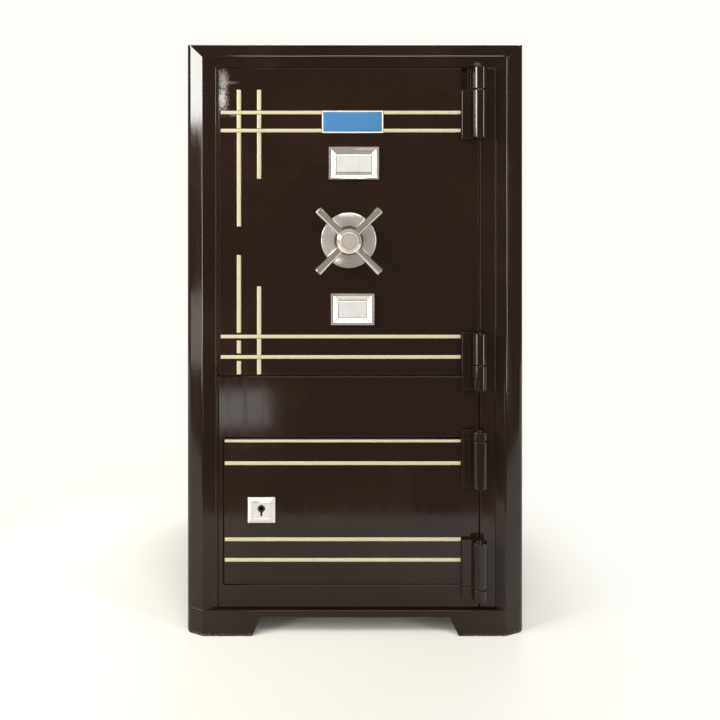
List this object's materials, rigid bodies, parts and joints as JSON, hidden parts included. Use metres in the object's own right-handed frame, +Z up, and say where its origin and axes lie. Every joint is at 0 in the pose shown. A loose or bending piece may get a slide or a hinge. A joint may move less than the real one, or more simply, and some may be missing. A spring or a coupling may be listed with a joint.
{
  "type": "steel safe",
  "caption": "Free-standing enamelled steel safe with a tall bolted upper door, a small key-locked lower door, bevelled front moulding and arched plinth.",
  "frame": {"origin": "centre of the bounding box on the floor plane, under the cabinet with its handle", "axes": "+Z up; the doors face -Y; +X is to the viewer's right when facing the doors, where the hinges are"},
  "size_m": [0.714, 0.7356, 1.245],
  "materials": {
    "brown_enamel": "deep brown gloss stove enamel over welded steel",
    "plated_trim": "bright nickel plate, polished",
    "plated_mirror": "polished mirror plate",
    "cream_enamel": "cream gloss enamel",
    "blue_enamel": "light blue vitreous enamel",
    "pale_rim": "off-white enamel rim",
    "bright_steel": "machined steel",
    "grey_paint": "satin grey paint inside",
    "filling": "poured fire-resisting filling",
    "brass": "worn brass"
  },
  "bodies": {
    "cabinet": {"casing_shell": "brown_enamel", "back_plate": "brown_enamel", "base_plate": "brown_enamel", "left_front_moulding": "brown_enamel", "top_front_moulding": "brown_enamel", "right_front_moulding": "brown_enamel", "hinge_stile": "brown_enamel", "lower_front_plate": "brown_enamel", "plinth_front": "brown_enamel", "plinth_sides": "brown_enamel", "plinth_back": "brown_enamel", "upper_door_seat": "grey_paint", "lower_door_seat": "grey_paint", "upper_liner": "grey_paint", "lower_liner": "grey_paint", "fire_filling": "filling", "shelf": "grey_paint", "shelf_rests": "grey_paint", "fixed_knuckles": "brown_enamel", "hinge_pins": "bright_steel"},
    "upper_door": {"upper_door_plate": "brown_enamel", "upper_door_pan": "grey_paint", "upper_door_filling": "filling", "boltwork_plate": "grey_paint", "upper_inner_cover": "grey_paint", "upper_cover_screws": "bright_steel", "upper_dog_bar": "bright_steel", "upper_door_knuckles": "brown_enamel", "bolt_guide_bar": "bright_steel", "handle_rose": "plated_trim", "top_cover_frame": "plated_trim", "bottom_cover_frame": "plated_trim", "name_plate": "blue_enamel", "name_plate_rim": "pale_rim", "upper_door_trim": "cream_enamel", "top_lock_case": "brass", "bottom_lock_case": "brass"},
    "handle": {"handle_hub": "plated_trim", "handle_spokes": "plated_trim", "handle_cap": "plated_trim", "handle_spindle": "bright_steel", "drive_pinion": "bright_steel"},
    "boltwork": {"bolt_carrier": "bright_steel", "bolt_rack": "bright_steel", "locking_bolts": "bright_steel", "bolt_nuts": "bright_steel"},
    "top_key_cover": {"top_key_cover": "plated_mirror"},
    "bottom_key_cover": {"bottom_key_cover": "plated_mirror"},
    "top_lock_bolt": {"top_lock_bolt": "brass"},
    "bottom_lock_bolt": {"bottom_lock_bolt": "brass"},
    "lower_door": {"lower_door_plate": "brown_enamel", "lower_door_pan": "grey_paint", "lower_door_filling": "filling", "lower_inner_cover": "grey_paint", "lower_dog_bar": "bright_steel", "lower_door_knuckles": "brown_enamel", "lower_door_trim": "cream_enamel", "lower_escutcheon": "plated_trim", "lower_lock_case": "brass"},
    "lower_lock_bolt": {"lower_lock_bolt": "bright_steel"}
  },
  "joints": [
    {"name": "upper_door_hinge", "type": "hinge", "parent": "cabinet", "child": "upper_door", "pos_m": [0.2602, -0.325, 0.85625], "axis": [0, 0, 1], "range_deg": [0, 120]},
    {"name": "lower_door_hinge", "type": "hinge", "parent": "cabinet", "child": "lower_door", "pos_m": [0.2602, -0.325, 0.25625], "axis": [0, 0, 1], "range_deg": [0, 120]},
    {"name": "handle_turn", "type": "hinge", "parent": "upper_door", "child": "handle", "pos_m": [-0.01378, -0.3092, 0.83099], "axis": [0, -1, 0], "range_deg": [0, 90]},
    {"name": "bolt_throw", "type": "slide", "parent": "upper_door", "child": "boltwork", "axis": [-1, 0, 0], "range_m": [0, 0.02828]},
    {"name": "top_cover_swing", "type": "hinge", "parent": "upper_door", "child": "top_key_cover", "pos_m": [-0.00301, -0.3111, 1.01054], "axis": [-1, 0, 0], "range_deg": [0, 90]},
    {"name": "bottom_cover_swing", "type": "hinge", "parent": "upper_door", "child": "bottom_key_cover", "pos_m": [-0.00559, -0.3111, 0.70201], "axis": [-1, 0, 0], "range_deg": [0, 90]},
    {"name": "top_lock_throw", "type": "slide", "parent": "upper_door", "child": "top_lock_bolt", "axis": [0, 0, -1], "range_m": [0, 0.01]},
    {"name": "bottom_lock_throw", "type": "slide", "parent": "upper_door", "child": "bottom_lock_bolt", "axis": [0, 0, 1], "range_m": [0, 0.01]},
    {"name": "lower_lock_throw", "type": "slide", "parent": "lower_door", "child": "lower_lock_bolt", "axis": [-1, 0, 0], "range_m": [0, 0.024]}
  ],
  "couplings": [
    {"joint": "bolt_throw", "follows": "handle_turn", "m_per_rad": 0.018}
  ]
}
